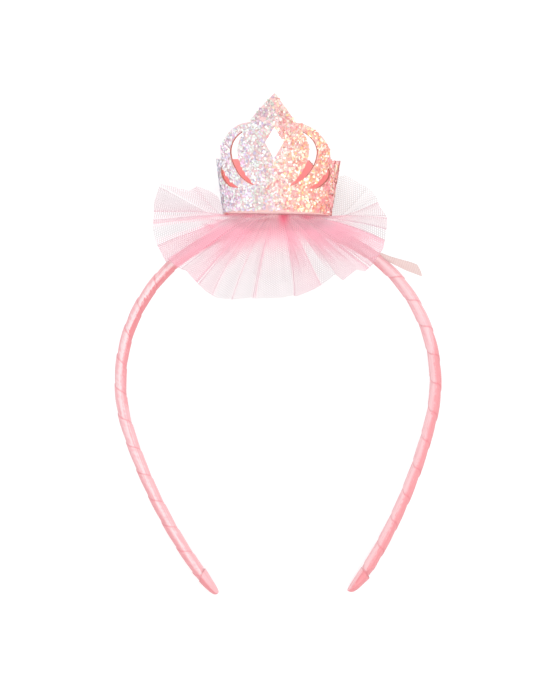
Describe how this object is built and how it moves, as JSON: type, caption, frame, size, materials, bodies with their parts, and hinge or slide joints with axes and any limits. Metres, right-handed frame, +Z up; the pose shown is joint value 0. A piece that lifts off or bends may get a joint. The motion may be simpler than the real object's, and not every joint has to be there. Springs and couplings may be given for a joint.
{
  "type": "crown headband",
  "caption": "Child's party headband wrapped in satin ribbon, with a gathered tulle rosette and a small rolled glitter crown with cut-out windows.",
  "frame": {"origin": "middle of the bounding box in X and Y, on the surface it lies on", "axes": "+Y from the band's tips towards the crown, +X to the right when seen from above, +Z up; the headband lies on its back with its front up"},
  "size_m": [0.1306, 0.1909, 0.0553],
  "materials": {
    "satin_ribbon": "pink satin ribbon, soft sheen along the wrap",
    "glitter_sheet": "chunky iridescent glitter on a smooth coral backing",
    "peach_felt": "matt felt",
    "pale_tulle": "soft fine net, see-through where it lies in one ply",
    "pink_tulle": "soft fine net in dense gathers",
    "cream_ribbon": "plain satin ribbon, no lettering"
  },
  "bodies": {
    "root": {"band": "satin_ribbon", "tip_fold_left": "satin_ribbon", "tip_fold_right": "satin_ribbon", "crown": "glitter_sheet", "base_disc": "peach_felt", "tulle_top": "pale_tulle", "tulle_middle": "pink_tulle", "tulle_bottom": "pink_tulle", "ribbon_label": "cream_ribbon"}
  },
  "joints": []
}
